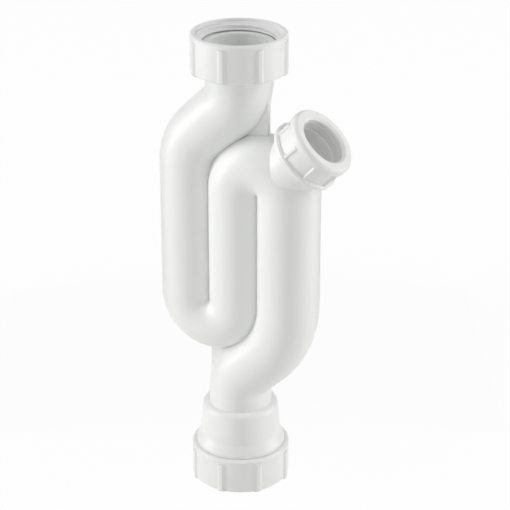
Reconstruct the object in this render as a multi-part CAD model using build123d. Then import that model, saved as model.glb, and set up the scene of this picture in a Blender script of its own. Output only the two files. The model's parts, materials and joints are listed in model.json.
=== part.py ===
from build123d import *
import os
from dataclasses import dataclass
from math import cos, radians, sin

# In-line basin trap of white polypropylene. Millimetres, +Z up. The origin is the centre of the outlet nut's
# bottom face, on the axis that the inlet and the outlet share. The three legs stand in the XZ plane: the left
# leg at -X, the middle leg on the axis, the right leg and the 45 degree branch at +X.

# Tube run
leg_spacing = 29.6  # between the axes of neighbouring legs, which share a wall
tube_r = 17.5
tube_bore_r = 13.8
bend_angle = 46.0  # lean of the S-bends' straight stretch, from the vertical
outlet_bend_r = 18.5  # centreline radius where the lower S-bend enters the outlet neck
right_leg_bend_r = 48.0
inlet_bend_r = 20.0  # centreline radius where the upper S-bend leaves the inlet neck
left_leg_bend_r = 26.0
right_leg_length = 65.7
left_leg_length = 77.7
inlet_rise = 58.4  # from the crown's centre up to the start of the upper S-bend
web_thickness = 3.6

# Clearances
turn_gap = 0.3  # between curved faces that turn or slide on each other
seat_gap = 0.15  # between flat faces that turn on each other
thread_gap = 0.8  # between a plain thread barrel and its nut, where the ridges of both threads run
overshoot = 1.0  # how far a cut runs past the face that it opens

# Ribs shared by the three nuts
rib_count = 8
rib_rise = 1.1  # how far a rib stands above the nut's side
rib_sink = 0.6  # depth of a rib's root under the nut's side


@dataclass
class Nut:
    """A ribbed nut. Its closed face is at 0 along its own axis and its open end is at height."""

    height: float
    floor: float  # thickness of the closed face
    hole_r: float
    hole_bevel: float
    thread_r: float
    relief: float  # how much wider than the thread the hollow behind it is, if there is one
    relief_height: float
    mouth: float  # how much wider than the thread the mouth is
    mouth_depth: float
    mouth_bevel: float  # length of the cone from the mouth to the thread
    wall: float  # thickness of the side round the thread
    rim_height: float  # band at the open end that the ribs leave plain
    rim_rise: float  # how far that band stands above the side, if at all
    rim_bevel: float
    rib_width: float
    rib_flare: float  # how much wider a rib is at its root than at its top
    face_bevel: float
    shoulder_height: float  # smooth rounded band beside the closed face, if any
    shoulder_rise: float
    shoulder_round: float
    turn: float  # angle of the first rib, degrees

    @property
    def side_r(self):
        return self.thread_r + self.wall


@dataclass
class PipeJoint:
    """A compression socket: barrel, seat, slip ring and seal, measured like its nut."""

    pipe_bore_r: float
    bore_depth: float  # length of the bore's plain wall
    barrel_r: float
    lip: float  # thickness of the barrel's edge at its mouth
    ring_thickness: float
    ring_play: float  # radial room of the slip ring and seal round the pipe
    seal_base: float
    seal_tip: float  # wall of the seal at the end of its nose


# Outlet
outlet_pipe_r = 18.1
pipe_play = 0.25  # radial room of the socket's bore round its pipe
outlet = PipeJoint(
    pipe_bore_r=outlet_pipe_r + pipe_play, bore_depth=22.9, barrel_r=23.2, lip=1.3,
    ring_thickness=1.5, ring_play=0.2, seal_base=1.6, seal_tip=0.5,
)
outlet_nut = Nut(
    height=20.3, floor=4.0, hole_r=18.9, hole_bevel=0.8, thread_r=outlet.barrel_r + thread_gap,
    relief=0.0, relief_height=0.0, mouth=0.5, mouth_depth=0.6, mouth_bevel=0.5,
    wall=3.8, rim_height=2.5, rim_rise=0.0, rim_bevel=1.0, rib_width=2.0, rib_flare=3.1, face_bevel=0.7,
    shoulder_height=0.0, shoulder_rise=0.0, shoulder_round=0.0, turn=3.0,
)
collar_rise = 2.0  # how far the collar above the nut stands out from the thread barrel
collar_height = 1.95
cone_height = 24.1
cone_shoulder_r = 21.4
cone_shoulder_round = 3.4
cone_waist_r = 22.7
cone_waist_rise = 5.2  # from the collar up to the cone's waist
cone_waist_round = 5.0
outlet_neck_r = 17.8  # at the cone's shoulder, from where the neck tapers up to the tube
outlet_neck_height = 8.9
stop_length = 6.0  # taper from the pipe stop to the tube's bore
stop_ledge = 2.0

# Inlet
inlet_neck_r = 18.5
inlet_neck_height = 8.0
inlet_neck_step = 0.4  # how far the neck stands out from the S-bend under it
inlet_shaft_r = 17.4
inlet_bore_r = 15.4
flange_r = 19.2
flange_thickness = 2.0
washer_r = 19.0
washer_thickness = 2.0
washer_depth = 5.6  # from the nut's open end down to the washer
inlet_nut = Nut(
    height=20.5, floor=3.0, hole_r=inlet_shaft_r + turn_gap, hole_bevel=0.6, thread_r=20.95,
    relief=0.55, relief_height=12.1, mouth=2.45, mouth_depth=1.3, mouth_bevel=1.6,
    wall=5.05, rim_height=2.3, rim_rise=0.0, rim_bevel=0.7, rib_width=2.0, rib_flare=3.1, face_bevel=0.7,
    shoulder_height=0.0, shoulder_rise=0.0, shoulder_round=0.0, turn=6.0,
)

# Branch
branch_lean = 45.0  # from the vertical, towards the right leg
branch_reach = 50.0  # from the crown's centre to the branch nut's closed face
branch_pipe_r = 12.65
branch = PipeJoint(
    pipe_bore_r=branch_pipe_r + pipe_play, bore_depth=7.9, barrel_r=16.8, lip=1.2,
    ring_thickness=1.3, ring_play=0.25, seal_base=1.5, seal_tip=0.5,
)
branch_throat_r = 10.6
branch_nut = Nut(
    height=17.7, floor=3.0, hole_r=13.4, hole_bevel=1.4, thread_r=branch.barrel_r + thread_gap,
    relief=0.0, relief_height=0.0, mouth=0.5, mouth_depth=0.6, mouth_bevel=0.5,
    wall=1.5, rim_height=3.6, rim_rise=1.6, rim_bevel=0.9, rib_width=1.4, rib_flare=1.7, face_bevel=0.7,
    shoulder_height=5.0, shoulder_rise=0.8, shoulder_round=2.6, turn=18.0,
)

# Levels that follow from the sizes above
lean = radians(bend_angle)


def s_bend_straight(first_r, second_r):
    """Length of an S-bend's straight stretch, which carries it across one leg spacing."""
    return (leg_spacing - (first_r + second_r) * (1 - cos(lean))) / sin(lean)


def s_bend_drop(first_r, second_r):
    """Height of an S-bend from end to end."""
    return (first_r + second_r) * sin(lean) + s_bend_straight(first_r, second_r) * cos(lean)


collar_level = outlet_nut.height + seat_gap
cone_level = collar_level + collar_height
outlet_neck_level = cone_level + cone_height
outlet_bend_level = outlet_neck_level + outlet_neck_height
crown_level = outlet_bend_level + s_bend_drop(right_leg_bend_r, outlet_bend_r) + right_leg_length
inlet_bend_level = crown_level + inlet_rise
u_bend_level = inlet_bend_level - s_bend_drop(inlet_bend_r, left_leg_bend_r) - left_leg_length
inlet_seat_level = inlet_bend_level + inlet_neck_height
inlet_nut_level = inlet_seat_level + seat_gap
washer_level = inlet_nut_level + inlet_nut.height - washer_depth - washer_thickness
flange_level = washer_level - flange_thickness

crown_centre = Vector(leg_spacing / 2, 0, crown_level)
branch_axis = Vector(sin(radians(branch_lean)), 0, cos(radians(branch_lean)))
inward = Plane(origin=crown_centre + branch_axis * branch_reach, x_dir=(0, 1, 0), z_dir=-branch_axis)


def turned(points, rounds=()):
    """Solid of revolution about Z from (radius, height) points, with some of its corners rounded."""
    face = make_face(Polyline(*points, close=True))
    for corner, radius in rounds:
        face = fillet(face.vertices().sort_by_distance(corner)[0], radius)
    return revolve(Plane.XZ * face, Axis.Z)


def nut_outline(nut):
    """Half outline of a nut without its ribs, with a step up to the rim where the rim stands proud."""
    rim_r = nut.side_r + nut.rim_rise
    rim_level = nut.height - nut.rim_height
    points = [(0, 0), (nut.side_r - nut.face_bevel, 0), (nut.side_r, nut.face_bevel)]
    if nut.rim_rise:
        points += [(nut.side_r, rim_level), (rim_r - nut.rim_bevel, rim_level)]
        points += [(rim_r, rim_level + nut.rim_bevel)]
    points += [(rim_r, nut.height - nut.rim_bevel), (rim_r - nut.rim_bevel, nut.height), (0, nut.height)]
    return points


def nut_rib(nut):
    """One rib, from the rim to the closed face or to the shoulder."""
    top_r = nut.side_r + rib_rise
    root_r = nut.side_r - rib_sink
    root_width = nut.rib_width + nut.rib_flare
    section = make_face(
        Polyline(
            (root_r, -root_width / 2),
            (top_r, -nut.rib_width / 2),
            (top_r, nut.rib_width / 2),
            (root_r, root_width / 2),
            close=True,
        )
    )
    envelope = turned(
        [(0, 0), (top_r - nut.face_bevel, 0), (top_r, nut.face_bevel), (top_r, nut.height), (0, nut.height)]
    )
    length = nut.height - nut.rim_height - nut.shoulder_height
    return Pos(0, 0, nut.shoulder_height) * extrude(section, length) & envelope


def nut_hollow(nut):
    """Inside of a nut: hole, thread wall and mouth."""
    mouth_start = nut.height - nut.mouth_depth
    solid = turned(
        [
            (0, -overshoot),
            (nut.hole_r + nut.hole_bevel + overshoot, -overshoot),
            (nut.hole_r, nut.hole_bevel),
            (nut.hole_r, nut.floor),
            (nut.thread_r, nut.floor),
            (nut.thread_r, mouth_start - nut.mouth_bevel),
            (nut.thread_r + nut.mouth, mouth_start),
            (nut.thread_r + nut.mouth, nut.height + overshoot),
            (0, nut.height + overshoot),
        ]
    )
    if nut.relief_height:
        solid += Pos(0, 0, nut.floor) * extrude(Circle(nut.thread_r + nut.relief), nut.relief_height)
    return solid


def ribbed_nut(nut):
    """A nut with a plain rim at its open end and ribs round its side."""
    solid = turned(nut_outline(nut))
    rib = nut_rib(nut)
    for index in range(rib_count):
        solid += Rot(0, 0, nut.turn + index * 360 / rib_count) * rib
    if nut.shoulder_height:
        shoulder_r = nut.side_r + nut.shoulder_rise
        solid += turned(
            [(0, 0), (shoulder_r, 0), (shoulder_r, nut.shoulder_height), (0, nut.shoulder_height)],
            [((shoulder_r, 0), nut.shoulder_round)],
        )
    return solid - nut_hollow(nut)


def ring_level(nut):
    """Height of the slip ring's face that bears on the nut's floor."""
    return nut.floor + seat_gap


def mouth_level(nut, joint):
    """Height of the barrel's mouth above the nut's closed face."""
    return ring_level(nut) + joint.ring_thickness + joint.seal_base + turn_gap


def seat_depth(joint):
    """Depth of the 45 degree seat between the barrel's mouth and the pipe's bore."""
    return joint.barrel_r - joint.lip - joint.pipe_bore_r


def slip_ring(nut, joint):
    """Thin ring that lets the nut turn without dragging the seal."""
    low = ring_level(nut)
    high = low + joint.ring_thickness
    inner = joint.pipe_bore_r + joint.ring_play
    outer = joint.barrel_r - turn_gap
    return turned([(inner, low), (outer, low), (outer, high), (inner, high)])


def cone_seal(nut, joint):
    """Seal with a flat base on the slip ring and a nose that wedges into the barrel's seat."""
    low = ring_level(nut) + joint.ring_thickness
    base = low + joint.seal_base
    inner = joint.pipe_bore_r + joint.ring_play
    nose_r = joint.barrel_r - joint.lip - turn_gap
    nose_tip = base + nose_r - inner - joint.seal_tip
    return turned(
        [
            (inner, low),
            (joint.barrel_r - turn_gap, low),
            (joint.barrel_r - turn_gap, base),
            (nose_r, base),
            (inner + joint.seal_tip, nose_tip),
            (inner, nose_tip),
        ]
    )


def s_bend(start, first_r, second_r):
    """Edges of an S-bend from a vertical tube at start, down and across to the next leg towards -X."""
    first = JernArc(start, (0, -1), first_r, -bend_angle)
    straight = Line(first @ 1, first @ 1 + (first % 1) * s_bend_straight(first_r, second_r))
    second = JernArc(straight @ 1, straight % 1, second_r, bend_angle)
    return [first, straight, second]


def tube_along(edges, radius):
    """Round bar along edges that are drawn in the legs' plane."""
    path = Plane.XZ * Wire(edges)
    return sweep(Plane(origin=path @ 0, z_dir=path % 0) * Circle(radius), path=path)


def half_turn(centre_x, level, radius, upward):
    """Half turn between two legs, made of the disc of the left-hand leg up to the line between the legs."""
    axis_x = centre_x + leg_spacing / 2
    disc = Pos(centre_x, 0, level) * Circle(radius)
    room = Pos(axis_x - leg_spacing, 0, level) * Rectangle(2 * leg_spacing, 2 * leg_spacing)
    return revolve(disc & room, Axis((axis_x, 0, level), (0, 1 if upward else -1, 0)), 180)


def post(x, low, high, radius):
    """Upright round bar."""
    return Pos(x, 0, low) * extrude(Circle(radius), high - low)


def upper_run(radius, neck_radius):
    """Inlet neck, upper S-bend and left leg, down to the U-bend. The first bend tapers from the neck."""
    bend, straight, leg_bend = s_bend((0, inlet_bend_level), inlet_bend_r, left_leg_bend_r)
    leg = Line(leg_bend @ 1, (-leg_spacing, u_bend_level))
    arc = Plane.XZ * bend
    sections = [
        Plane(origin=arc @ 0, z_dir=arc % 0) * Circle(neck_radius),
        Plane(origin=arc @ 1, z_dir=arc % 1) * Circle(radius),
    ]
    first_bend = sweep(sections=sections, path=arc, multisection=True)
    return first_bend + tube_along([straight, leg_bend, leg], radius)


def lower_run(radius):
    """Right leg and lower S-bend, from the crown down to the outlet neck."""
    top = outlet_bend_level + s_bend_drop(right_leg_bend_r, outlet_bend_r)
    leg = Line((leg_spacing, crown_level), (leg_spacing, top))
    return tube_along([leg] + s_bend((leg_spacing, top), right_leg_bend_r, outlet_bend_r), radius)


def loop(radius, neck_radius):
    """The whole tube from neck to neck: both S-bends, three legs, the U-bend and the crown."""
    return (
        upper_run(radius, neck_radius)
        + half_turn(-leg_spacing, u_bend_level, radius, upward=False)
        + post(0, u_bend_level, crown_level, radius)
        + half_turn(0, crown_level, radius, upward=True)
        + lower_run(radius)
    )


def inlet_neck():
    """Neck above the upper S-bend: a seat for the nut, a shaft it turns on and a flange that holds it."""
    return turned(
        [
            (0, inlet_bend_level),
            (inlet_neck_r, inlet_bend_level),
            (inlet_neck_r, inlet_seat_level),
            (inlet_shaft_r, inlet_seat_level),
            (inlet_shaft_r, flange_level),
            (flange_r, flange_level),
            (flange_r, washer_level),
            (0, washer_level),
        ]
    )


def outlet_socket():
    """Outlet neck, rounded cone, collar above the nut and the thread barrel inside it."""
    mouth = mouth_level(outlet_nut, outlet)
    waist_level = cone_level + cone_waist_rise
    return turned(
        [
            (0, mouth),
            (outlet.barrel_r, mouth),
            (outlet.barrel_r, collar_level),
            (outlet.barrel_r + collar_rise, collar_level),
            (outlet.barrel_r + collar_rise, cone_level),
            (cone_waist_r, waist_level),
            (cone_shoulder_r, outlet_neck_level),
            (outlet_neck_r, outlet_neck_level),
            (tube_r, outlet_bend_level),
            (0, outlet_bend_level),
        ],
        [
            ((cone_waist_r, waist_level), cone_waist_round),
            ((cone_shoulder_r, outlet_neck_level), cone_shoulder_round),
        ],
    )


def socket_hollow(nut, joint, throat_r, end_level):
    """Inside of a socket, from its mouth past the pipe stop to a narrower throat."""
    mouth = mouth_level(nut, joint)
    bore_level = mouth + seat_depth(joint)
    stop_level = bore_level + joint.bore_depth
    return turned(
        [
            (0, mouth - overshoot),
            (joint.pipe_bore_r + seat_depth(joint) + overshoot, mouth - overshoot),
            (joint.pipe_bore_r, bore_level),
            (joint.pipe_bore_r, stop_level),
            (joint.pipe_bore_r - stop_ledge, stop_level),
            (throat_r, stop_level + stop_length),
            (throat_r, end_level),
            (0, end_level),
        ]
    )


def inlet_hollow():
    """Inside of the inlet neck, tapered down to the tube's bore."""
    return turned(
        [
            (0, inlet_bend_level),
            (tube_bore_r, inlet_bend_level),
            (inlet_bore_r, inlet_seat_level),
            (inlet_bore_r, washer_level + overshoot),
            (0, washer_level + overshoot),
        ]
    )


def webs():
    """Flat webs in the legs' plane: one over the crown, one under the U-bend."""
    over_height = inlet_bend_level - crown_level - leg_spacing / 2
    over_middle = inlet_bend_level - over_height / 2
    under_height = u_bend_level - leg_spacing / 2 - outlet_bend_level
    under_middle = outlet_bend_level + under_height / 2
    over = Pos(tube_r / 2, 0, over_middle) * Box(tube_r, web_thickness, over_height)
    return over + Pos(-tube_r / 2, 0, under_middle) * Box(tube_r, web_thickness, under_height)


def trap_body():
    """The whole moulding."""
    mouth = mouth_level(branch_nut, branch)
    root = branch_reach - leg_spacing / 2
    spigot = inward * turned([(0, mouth), (branch.barrel_r, mouth), (branch.barrel_r, root), (0, root)])
    solid = loop(tube_r, inlet_neck_r - inlet_neck_step) + inlet_neck() + outlet_socket() + webs() + spigot
    water_way = loop(tube_bore_r, tube_bore_r) + inlet_hollow()
    water_way += socket_hollow(outlet_nut, outlet, tube_bore_r, outlet_bend_level)
    water_way += inward * socket_hollow(branch_nut, branch, branch_throat_r, root)
    return solid - water_way


def inlet_washer():
    """Flat washer on the neck's flange."""
    low = washer_level
    high = low + washer_thickness
    return turned([(inlet_bore_r, low), (washer_r, low), (washer_r, high), (inlet_bore_r, high)])


nodes = {
    "trap_body": trap_body(),
    "inlet_nut": Pos(0, 0, inlet_nut_level) * ribbed_nut(inlet_nut),
    "inlet_washer": inlet_washer(),
    "outlet_nut": ribbed_nut(outlet_nut),
    "outlet_slip_ring": slip_ring(outlet_nut, outlet),
    "outlet_seal": cone_seal(outlet_nut, outlet),
    "branch_nut": inward * ribbed_nut(branch_nut),
    "branch_slip_ring": inward * slip_ring(branch_nut, branch),
    "branch_seal": inward * cone_seal(branch_nut, branch),
}

os.makedirs("parts", exist_ok=True)
for name, solid in nodes.items():
    export_step(solid, f"parts/{name}.step")
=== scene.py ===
import json
from math import cos, hypot, pi, radians, sin

import bmesh
import bpy
from bpy.props import FloatProperty, FloatVectorProperty, IntProperty, PointerProperty
from mathutils import Matrix, Vector


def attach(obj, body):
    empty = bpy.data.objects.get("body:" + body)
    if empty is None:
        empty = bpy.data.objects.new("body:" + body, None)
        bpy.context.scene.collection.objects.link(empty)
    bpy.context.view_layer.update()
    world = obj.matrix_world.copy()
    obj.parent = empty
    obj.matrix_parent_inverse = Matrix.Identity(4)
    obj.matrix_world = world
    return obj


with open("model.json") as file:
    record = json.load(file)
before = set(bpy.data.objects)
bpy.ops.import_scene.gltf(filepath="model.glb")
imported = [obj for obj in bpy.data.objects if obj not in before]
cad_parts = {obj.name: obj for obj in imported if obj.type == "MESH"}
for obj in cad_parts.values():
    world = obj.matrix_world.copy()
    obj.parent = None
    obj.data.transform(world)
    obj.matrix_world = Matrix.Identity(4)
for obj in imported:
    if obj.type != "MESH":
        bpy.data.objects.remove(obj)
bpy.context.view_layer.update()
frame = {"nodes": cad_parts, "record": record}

bl_info = {
    "name": "Pedestal trap",
    "version": (1, 0, 0),
    "blender": (4, 5, 0),
    "location": "3D View > Sidebar > Trap",
    "description": "Finishes, threads and studio for an in-line basin trap",
    "category": "Object",
}

MM = 0.001  # one millimetre in the scene's metres
PHOTO_PIXELS = 510
SENSOR_WIDTH = 36.0  # mm
POLYPROPYLENE_IOR = 1.49
RUBBER_IOR = 1.52


def linear(hex_colour):
    """sRGB hex to linear red, green, blue."""
    parts = [int(hex_colour[i:i + 2], 16) / 255 for i in (1, 3, 5)]
    return [p / 12.92 if p <= 0.04045 else ((p + 0.055) / 1.055) ** 2.4 for p in parts]


def colour_property(name, description, hex_colour):
    return FloatVectorProperty(
        name=name, description=description, default=linear(hex_colour), subtype="COLOR", size=3,
        min=0.0, max=1.0,
    )


def length_property(name, description, millimetres):
    return FloatProperty(
        name=name, description=description, default=millimetres * MM, unit="LENGTH", subtype="DISTANCE"
    )


def angle_property(name, description, degrees):
    return FloatProperty(name=name, description=description, default=radians(degrees), subtype="ANGLE")


def power_property(name, description, watts):
    return FloatProperty(name=name, description=description, default=watts, min=0.0, subtype="POWER")


def number_property(name, description, value):
    return FloatProperty(name=name, description=description, default=value, min=0.0)


class TrapFinish(bpy.types.PropertyGroup):
    """Colours and surface sizes of the trap's materials."""

    body_white: colour_property("Body white", "Polypropylene of the trap body", "#F5F5F3")
    body_shade: colour_property("Body shade", "Cooler white where the melt flowed last", "#F1F3F2")
    nut_white: colour_property("Nut white", "Polypropylene of the three nuts", "#F4F4F2")
    nut_shade: colour_property("Nut shade", "Cooler white in the nuts", "#F0F1F1")
    washer_white: colour_property("Washer white", "Flat inlet washer", "#E9EAE8")
    ring_white: colour_property("Slip ring white", "Hard rings behind the nuts", "#F4F4F2")
    seal_white: colour_property("Seal white", "Rubber of the cone seals", "#E6E7E5")
    flow_size: length_property("Flow marks", "Width of the soft tone changes left by the melt", 45.0)
    grain_size: length_property("Mould grain", "Width of the mould's spark-eroded grain", 0.9)
    grain_depth: length_property("Grain depth", "Depth of that grain", 0.05)
    grain_spread: number_property("Grain spread", "How far the grain moves the roughness either way", 0.04)
    edge_round: length_property("Edge round", "Radius that a moulded edge shows", 0.35)
    body_roughness: number_property("Body roughness", "Skin of the trap body", 0.38)
    nut_roughness: number_property("Nut roughness", "Skin of the nuts and the slip rings", 0.4)
    glow_share: number_property("Glow share", "Share of the light that enters the plastic", 0.2)
    glow_depth: length_property("Glow depth", "How far light wanders inside the plastic", 1.5)
    rubber_roughness: number_property("Rubber roughness", "Skin of the washer and the seals", 0.6)
    bloom_size: length_property("Bloom", "Width of the pale patches on the rubber", 6.0)
    bloom_gain: number_property("Bloom gain", "Brightness of those patches against the rubber", 1.06)


class TrapThread(bpy.types.PropertyGroup):
    """Sizes of the screw threads."""

    inlet_pitch: length_property("Inlet pitch", "Pitch of the pipe thread, eleven turns to the inch", 2.309)
    inlet_depth: length_property("Inlet depth", "Height of its ridge", 1.35)
    inlet_drop: length_property("Inlet drop", "Start of the ridge below the top of the thread wall", 4.2)
    inlet_sink: length_property("Inlet sink", "How far the ridge's foot reaches into the nut's wall", 0.7)
    inlet_start: angle_property("Inlet start", "Angle where the ridge starts", 71.6)
    inlet_turns: number_property("Inlet turns", "Turns of the ridge", 2.5)
    inlet_lead: number_property("Inlet lead", "Slope of the cone that cuts the ridge back at the mouth", 2.0)
    inlet_bite: length_property("Inlet bite", "How far in from the wall the cone is at the wall's top", 1.0)
    inlet_mouth: length_property("Inlet mouth", "Largest radius that the cut reaches, inside the rim", 24.0)
    joint_pitch: length_property("Joint pitch", "Pitch of the compression joints' threads", 3.0)
    joint_rise: length_property("Joint rise", "Height of a compression thread's ridge", 0.62)
    joint_gap: length_property("Joint gap", "Room between a barrel and its nut", 0.8)
    joint_sink: length_property("Joint sink", "How far a ridge's foot reaches into its wall", 0.15)
    joint_turns: number_property("Joint turns", "Turns of each ridge", 2.9)
    outlet_barrel: length_property("Outlet barrel", "Radius of the outlet's thread barrel", 23.2)
    outlet_start: length_property("Outlet start", "Start of its thread, out from the bore's middle", 4.4)
    branch_barrel: length_property("Branch barrel", "Radius of the branch's thread barrel", 16.8)
    branch_start: length_property("Branch start", "Start of its thread, out from the bore's middle", -2.8)
    steps: IntProperty(name="Steps", description="Steps in one turn of a thread", default=96, min=12)


class TrapStudio(bpy.types.PropertyGroup):
    """Camera and light."""

    azimuth: angle_property("Azimuth", "Turn of the camera about the trap", 27.0)
    distance: length_property("Distance", "Camera's level distance from the trap's axis", 886.0)
    height: length_property("Height", "Camera's height above the floor", 542.1)
    aim_height: length_property("Aim height", "Height of the point in the middle of the picture", 136.63)
    aim_side: length_property("Aim side", "That point's distance to the right of the axis", 8.31)
    focal_pixels: number_property("Focal length", "In the picture's pixels", 1761.3)
    lamp_distance: length_property("Lamp distance", "From the aim to each softbox", 1100.0)
    left_power: power_property("Left softbox", "Main light", 8.2)
    right_power: power_property("Right softbox", "Fill light", 7.1)
    front_power: power_property("Front softbox", "Light from above the camera", 1.0)
    surround: number_property("Surround", "Strength of the room's light", 0.52)
    paper_glow: number_property("Paper glow", "Share of plain white in the paper", 0.96)
    paper_white: colour_property("Paper white", "Floor", "#F4F4F2")
    flag_black: colour_property("Flag black", "Cloth of the flags", "#1A1A1A")
    floor_size: length_property("Floor size", "Side of the paper floor", 8000.0)
    flag_side: length_property("Flag side", "Sideways distance of each black flag from the axis", 160.0)
    flag_near: length_property("Flag near", "How far behind the axis a flag starts", 40.0)
    flag_length: length_property("Flag length", "How far back a flag reaches", 200.0)
    flag_height: length_property("Flag height", "Height of a flag above the floor", 300.0)


def add(tree, kind, settings=None, **inputs):
    """Adds a node with its settings, and sets or links its inputs by name, or by number as in i0."""
    node = tree.nodes.new(kind)
    for key, value in (settings or {}).items():
        setattr(node, key, value)
    for key, value in inputs.items():
        numbered = key[0] == "i" and key[1:].isdigit()
        socket = node.inputs[int(key[1:]) if numbered else key.replace("_", " ")]
        if isinstance(value, bpy.types.NodeSocket):
            tree.links.new(value, socket)
        else:
            socket.default_value = value
    return node


def rgba(colour):
    return (*colour, 1.0)


def new_material(name):
    material = bpy.data.materials.new(name)
    material.use_nodes = True
    material.node_tree.nodes.clear()
    return material, material.node_tree


def moulded_polypropylene(name, white, shade, finish, roughness):
    """Injection-moulded polypropylene: a waxy white with a satin skin, faint flow tones, and a fine grain
    from the spark-eroded mould. The grain is drawn about ten times its true width, so that it shows."""
    material, tree = new_material(name)
    place = add(tree, "ShaderNodeTexCoord").outputs["Object"]
    flow = add(
        tree, "ShaderNodeTexNoise", Vector=place, Scale=1 / finish.flow_size, Detail=2.0, Roughness=0.4
    )
    colour = add(
        tree, "ShaderNodeMix", {"data_type": "RGBA"}, i0=flow.outputs["Fac"], i6=rgba(white), i7=rgba(shade)
    )
    grain = add(
        tree, "ShaderNodeTexNoise", Vector=place, Scale=1 / finish.grain_size, Detail=3.0, Roughness=0.6
    )
    skin = add(
        tree, "ShaderNodeMapRange", Value=grain.outputs["Fac"], To_Min=roughness - finish.grain_spread,
        To_Max=roughness + finish.grain_spread,
    )
    edge = add(tree, "ShaderNodeBevel", {"samples": 4}, Radius=finish.edge_round)
    bump = add(
        tree, "ShaderNodeBump", Strength=0.04, Distance=finish.grain_depth, Height=grain.outputs["Fac"],
        Normal=edge.outputs["Normal"],
    )
    shader = add(
        tree, "ShaderNodeBsdfPrincipled", Base_Color=colour.outputs["Result"],
        Roughness=skin.outputs["Result"], IOR=POLYPROPYLENE_IOR, Normal=bump.outputs["Normal"],
        Subsurface_Weight=finish.glow_share, Subsurface_Radius=(1.0, 1.0, 1.0),
        Subsurface_Scale=finish.glow_depth,
    )
    add(tree, "ShaderNodeOutputMaterial", Surface=shader.outputs["BSDF"])
    return material


def smooth_rubber(name, colour, finish):
    """Moulded rubber: dull, with a faint bloom that pales it in soft patches."""
    material, tree = new_material(name)
    place = add(tree, "ShaderNodeTexCoord").outputs["Object"]
    bloom = add(tree, "ShaderNodeTexNoise", Vector=place, Scale=1 / finish.bloom_size, Detail=3.0)
    pale = [min(1.0, part * finish.bloom_gain) for part in colour]
    tone = add(
        tree, "ShaderNodeMix", {"data_type": "RGBA"}, i0=bloom.outputs["Fac"], i6=rgba(colour), i7=rgba(pale)
    )
    bump = add(
        tree, "ShaderNodeBump", Strength=0.05, Distance=finish.grain_depth, Height=bloom.outputs["Fac"]
    )
    shader = add(
        tree, "ShaderNodeBsdfPrincipled", Base_Color=tone.outputs["Result"],
        Roughness=finish.rubber_roughness, IOR=RUBBER_IOR, Normal=bump.outputs["Normal"],
    )
    add(tree, "ShaderNodeOutputMaterial", Surface=shader.outputs["BSDF"])
    return material


def dress(node, material):
    """Gives a CAD node its one material."""
    mesh = frame["nodes"][node].data
    mesh.materials.clear()
    mesh.materials.append(material)


class TRAP_OT_body_finish(bpy.types.Operator):
    """Gives the moulded body its polypropylene"""

    bl_idname = "trap.body_finish"
    bl_label = "Body finish"

    def execute(self, context):
        finish = context.scene.trap_finish
        material = moulded_polypropylene(
            "Moulded polypropylene", finish.body_white, finish.body_shade, finish, finish.body_roughness
        )
        dress("trap_body", material)
        return {"FINISHED"}


class TRAP_OT_nut_finish(bpy.types.Operator):
    """Gives the three ribbed nuts their polypropylene"""

    bl_idname = "trap.nut_finish"
    bl_label = "Nut finish"

    def execute(self, context):
        finish = context.scene.trap_finish
        material = moulded_polypropylene(
            "Moulded polypropylene of the nuts", finish.nut_white, finish.nut_shade, finish,
            finish.nut_roughness,
        )
        for node in ("inlet_nut", "outlet_nut", "branch_nut"):
            dress(node, material)
        return {"FINISHED"}


class TRAP_OT_seal_finish(bpy.types.Operator):
    """Gives the washer, slip rings and cone seals their materials"""

    bl_idname = "trap.seal_finish"
    bl_label = "Seal finish"

    def execute(self, context):
        finish = context.scene.trap_finish
        dress("inlet_washer", smooth_rubber("Moulded white washer rubber", finish.washer_white, finish))
        ring = moulded_polypropylene(
            "Moulded polypropylene of the rings", finish.ring_white, finish.nut_white, finish,
            finish.nut_roughness,
        )
        seal = smooth_rubber("Moulded white seal rubber", finish.seal_white, finish)
        for side in ("outlet", "branch"):
            dress(f"{side}_slip_ring", ring)
            dress(f"{side}_seal", seal)
        return {"FINISHED"}


def screw_ridge(name, section, pitch, turns, steps, place, lead=None):
    """A right-hand helical ridge of a (radius, height) section, from z 0 up, then moved to its place. A lead
    is a cone that cuts the ridge back where the thread opens: radius at z 0, slope and largest radius."""
    bm = bmesh.new()
    verts = [bm.verts.new((radius, 0, height)) for radius, height in section]
    edges = [bm.edges.new((verts[i - 1], verts[i])) for i in range(len(verts))]
    count = round(turns * steps)
    result = bmesh.ops.spin(
        bm, geom=verts + edges, axis=(0, 0, 1), cent=(0, 0, 0), dvec=(0, 0, pitch / steps),
        angle=2 * pi * count / steps, steps=count, use_merge=False,
    )
    last = [item for item in result["geom_last"] if isinstance(item, bmesh.types.BMEdge)]
    bmesh.ops.edgeloop_fill(bm, edges=edges)
    bmesh.ops.edgeloop_fill(bm, edges=last)
    if lead:
        foot, slope, largest = lead
        for vert in bm.verts:
            radius = hypot(vert.co.x, vert.co.y)
            least = min(foot + slope * vert.co.z, largest)
            if radius < least:
                vert.co.x *= least / radius
                vert.co.y *= least / radius
    bmesh.ops.recalc_face_normals(bm, faces=bm.faces)
    bmesh.ops.transform(bm, verts=bm.verts, matrix=place)
    mesh = bpy.data.meshes.new(name)
    bm.to_mesh(mesh)
    bm.free()
    piece = bpy.data.objects.new(name, mesh)
    bpy.context.scene.collection.objects.link(piece)
    return piece


def mount_of(name):
    """A mount of the record, its place and its axis."""
    mount = next(item for item in frame["record"]["mounts"] if item["name"] == name)
    return mount, Vector(mount["pos_m"]), Vector(mount["axis"])


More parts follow.
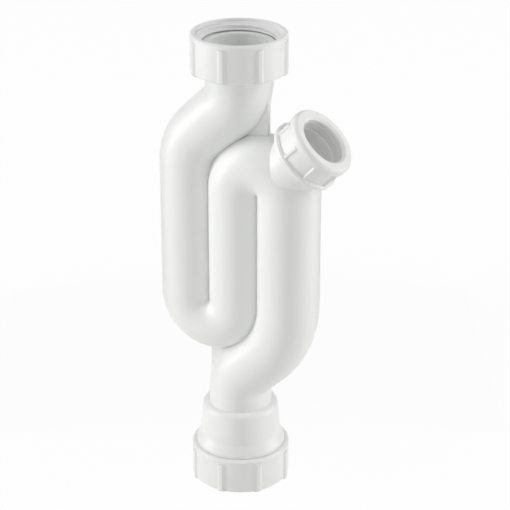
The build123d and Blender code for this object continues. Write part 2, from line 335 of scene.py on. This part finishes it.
class TRAP_OT_inlet_thread(bpy.types.Operator):
    """Adds the pipe thread's ridge to the inlet nut, cut back at the nut's mouth"""

    bl_idname = "trap.inlet_thread"
    bl_label = "Inlet thread"

    def execute(self, context):
        thread = context.scene.trap_thread
        mount, middle, axis = mount_of("inlet")
        wall = mount["dims"]["r_mm"] * MM
        start = middle + axis * (mount["dims"]["length_mm"] * MM / 2 - thread.inlet_drop)
        # Heights of the ridge's edges, as shares of the pitch. Its upper flank is nearly flat.
        low_foot = -0.4 * thread.inlet_pitch
        low_crest = -0.22 * thread.inlet_pitch
        high_crest = 0.12 * thread.inlet_pitch
        high_foot = 0.14 * thread.inlet_pitch
        crest_r = wall - thread.inlet_depth
        sunk = wall + thread.inlet_sink
        section = [
            (sunk, low_foot), (wall, low_foot), (crest_r, low_crest),
            (crest_r, high_crest), (wall, high_foot), (sunk, high_foot),
        ]
        cone_foot = wall - thread.inlet_bite - thread.inlet_lead * thread.inlet_drop
        piece = screw_ridge(
            "inlet_thread", section, thread.inlet_pitch, thread.inlet_turns, thread.steps,
            Matrix.Translation(start) @ Matrix.Rotation(thread.inlet_start, 4, "Z"),
            lead=(cone_foot, thread.inlet_lead, thread.inlet_mouth),
        )
        piece.data.materials.append(frame["nodes"]["inlet_nut"].data.materials[0])
        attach(piece, "inlet_nut")
        return {"FINISHED"}


class TRAP_OT_joint_threads(bpy.types.Operator):
    """Adds the ridges of the outlet and branch threads, on each barrel and in each nut"""

    bl_idname = "trap.joint_threads"
    bl_label = "Joint threads"

    def execute(self, context):
        thread = context.scene.trap_thread
        # Half the width of a ridge at its foot and at its crest, as shares of the pitch
        foot = 0.28 * thread.joint_pitch
        crest = 0.1 * thread.joint_pitch
        half = Matrix.Translation((0, 0, thread.joint_pitch / 2))
        up = Vector((0, 0, 1))
        sides = (
            ("outlet", thread.outlet_barrel, thread.outlet_start),
            ("branch", thread.branch_barrel, thread.branch_start),
        )
        for side, barrel, start in sides:
            middle, axis = mount_of(side)[1:]
            turn = up.rotation_difference(axis).to_matrix().to_4x4()
            place = Matrix.Translation(middle + axis * start) @ turn
            wall = barrel + thread.joint_gap
            pieces = (
                ("barrel", barrel, 1, place, "trap", "trap_body", "body_plastic"),
                ("nut", wall, -1, place @ half, f"{side}_nut", f"{side}_nut", "nut_plastic"),
            )
            for part, radius, sign, where, body, node, slot in pieces:
                sunk = radius - sign * thread.joint_sink
                top = radius + sign * thread.joint_rise
                piece = screw_ridge(
                    f"{side}_{part}_thread", [(sunk, -foot), (top, -crest), (top, crest), (sunk, foot)],
                    thread.joint_pitch, thread.joint_turns, thread.steps, where,
                )
                piece.data.materials.append(frame["nodes"][node].data.materials[0])
                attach(piece, body)
        return {"FINISHED"}


def paper_material(studio):
    """Matt white paper: seen as white, with the part's soft shadow left on it."""
    material, tree = new_material("Matt white background paper")
    ray = add(tree, "ShaderNodeLightPath")
    direct = add(
        tree, "ShaderNodeMath", {"operation": "MAXIMUM"}, i0=ray.outputs["Is Camera Ray"],
        i1=ray.outputs["Is Glossy Ray"],
    )
    seen = add(
        tree, "ShaderNodeMath", {"operation": "MAXIMUM"}, i0=direct.outputs[0],
        i1=ray.outputs["Is Transmission Ray"],
    )
    share = add(tree, "ShaderNodeMath", {"operation": "MULTIPLY"}, i0=seen.outputs[0], i1=studio.paper_glow)
    paper = add(tree, "ShaderNodeBsdfDiffuse", Color=rgba(studio.paper_white))
    glow = add(tree, "ShaderNodeEmission", Color=(1, 1, 1, 1), Strength=1.0)
    mixed = add(tree, "ShaderNodeMixShader", i0=share.outputs[0], i1=paper.outputs[0], i2=glow.outputs[0])
    add(tree, "ShaderNodeOutputMaterial", Surface=mixed.outputs[0])
    return material


def looking(place, aim):
    """Placing of a lamp or camera that faces its aim."""
    return Matrix.Translation(place) @ (aim - place).to_track_quat("-Z", "Y").to_matrix().to_4x4()


def black_cloth(studio):
    """Woven black cloth of the studio's flags, which keep light from the part's outer edges."""
    material, tree = new_material("Woven black cloth")
    cloth = add(tree, "ShaderNodeBsdfDiffuse", Color=rgba(studio.flag_black))
    add(tree, "ShaderNodeOutputMaterial", Surface=cloth.outputs[0])
    return material


def stage_sheet(name, corners, material):
    """A flat sheet of the studio that isn't part of the trap."""
    bm = bmesh.new()
    bm.faces.new([bm.verts.new(corner) for corner in corners])
    mesh = bpy.data.meshes.new(name)
    bm.to_mesh(mesh)
    bm.free()
    mesh.materials.append(material)
    sheet = bpy.data.objects.new(name, mesh)
    bpy.context.scene.collection.objects.link(sheet)
    return sheet


def softbox(name, place, aim, width, height, power):
    """A rectangular area lamp, sized in metres, that faces its aim."""
    lamp = bpy.data.lights.new(name, "AREA")
    lamp.shape = "RECTANGLE"
    lamp.size = width
    lamp.size_y = height
    lamp.energy = power
    holder = bpy.data.objects.new(name, lamp)
    holder.matrix_world = looking(place, aim)
    bpy.context.scene.collection.objects.link(holder)


class TRAP_OT_stage(bpy.types.Operator):
    """Sets the paper floor, the softboxes, the flags, the room's light and the camera"""

    bl_idname = "trap.stage"
    bl_label = "Stage"

    def execute(self, context):
        scene = context.scene
        studio = scene.trap_studio
        half = studio.floor_size / 2
        corners = ((-half, -half, 0), (half, -half, 0), (half, half, 0), (-half, half, 0))
        stage_sheet("paper_floor", corners, paper_material(studio))

        right = Vector((cos(studio.azimuth), sin(studio.azimuth), 0))
        ahead = Vector((-sin(studio.azimuth), cos(studio.azimuth), 0))
        up = Vector((0, 0, 1))
        aim = up * studio.aim_height + right * studio.aim_side
        # Turn to the right from the camera's side and rise, in degrees, then width and height in metres
        lamps = (
            ("left_softbox", -90.0, 10.0, 0.3, 1.2, studio.left_power),
            ("right_softbox", 93.0, 12.0, 0.4, 1.2, studio.right_power),
            ("front_softbox", 0.0, 60.0, 0.8, 0.8, studio.front_power),
        )
        for name, turn, rise, width, height, power in lamps:
            level = right * sin(radians(turn)) - ahead * cos(radians(turn))
            way = level * cos(radians(rise)) + up * sin(radians(rise))
            softbox(name, aim + way * studio.lamp_distance, aim, width, height, power)

        cloth = black_cloth(studio)
        for name, side in (("left_flag", -studio.flag_side), ("right_flag", studio.flag_side)):
            near = right * side + ahead * studio.flag_near
            far = near + ahead * studio.flag_length
            top = up * studio.flag_height
            flag = stage_sheet(name, (near, far, far + top, near + top), cloth)
            flag.visible_camera = False

        world = bpy.data.worlds.new("White room")
        world.use_nodes = True
        tree = world.node_tree
        tree.nodes.clear()
        room = add(tree, "ShaderNodeBackground", Color=(1, 1, 1, 1), Strength=studio.surround)
        add(tree, "ShaderNodeOutputWorld", Surface=room.outputs[0])
        scene.world = world

        camera = bpy.data.cameras.new("camera")
        camera.sensor_width = SENSOR_WIDTH
        camera.lens = SENSOR_WIDTH * studio.focal_pixels / PHOTO_PIXELS
        holder = bpy.data.objects.new("camera", camera)
        place = up * studio.height - ahead * studio.distance
        holder.matrix_world = looking(place, aim)
        scene.collection.objects.link(holder)
        scene.camera = holder
        scene.view_settings.view_transform = "Standard"
        return {"FINISHED"}


class TRAP_PT_panel(bpy.types.Panel):
    """Lists the steps in order"""

    bl_idname = "TRAP_PT_panel"
    bl_label = "Pedestal trap"
    bl_space_type = "VIEW_3D"
    bl_region_type = "UI"
    bl_category = "Trap"

    def draw(self, context):
        for operator in OPERATORS:
            self.layout.operator(operator.bl_idname)
        for group in ("trap_finish", "trap_thread", "trap_studio"):
            box = self.layout.box()
            settings = getattr(context.scene, group)
            for key in settings.__annotations__:
                box.prop(settings, key)


OPERATORS = (
    TRAP_OT_body_finish,
    TRAP_OT_nut_finish,
    TRAP_OT_seal_finish,
    TRAP_OT_inlet_thread,
    TRAP_OT_joint_threads,
    TRAP_OT_stage,
)
CLASSES = (TrapFinish, TrapThread, TrapStudio, *OPERATORS, TRAP_PT_panel)


def register():
    for item in CLASSES:
        bpy.utils.register_class(item)
    bpy.types.Scene.trap_finish = PointerProperty(type=TrapFinish)
    bpy.types.Scene.trap_thread = PointerProperty(type=TrapThread)
    bpy.types.Scene.trap_studio = PointerProperty(type=TrapStudio)


def unregister():
    for name in ("trap_finish", "trap_thread", "trap_studio"):
        delattr(bpy.types.Scene, name)
    for item in reversed(CLASSES):
        bpy.utils.unregister_class(item)


def main():
    register()
    bpy.ops.trap.body_finish()
    bpy.ops.trap.nut_finish()
    bpy.ops.trap.seal_finish()
    bpy.ops.trap.inlet_thread()
    bpy.ops.trap.joint_threads()
    bpy.ops.trap.stage()


if __name__ == "__main__":
    main()
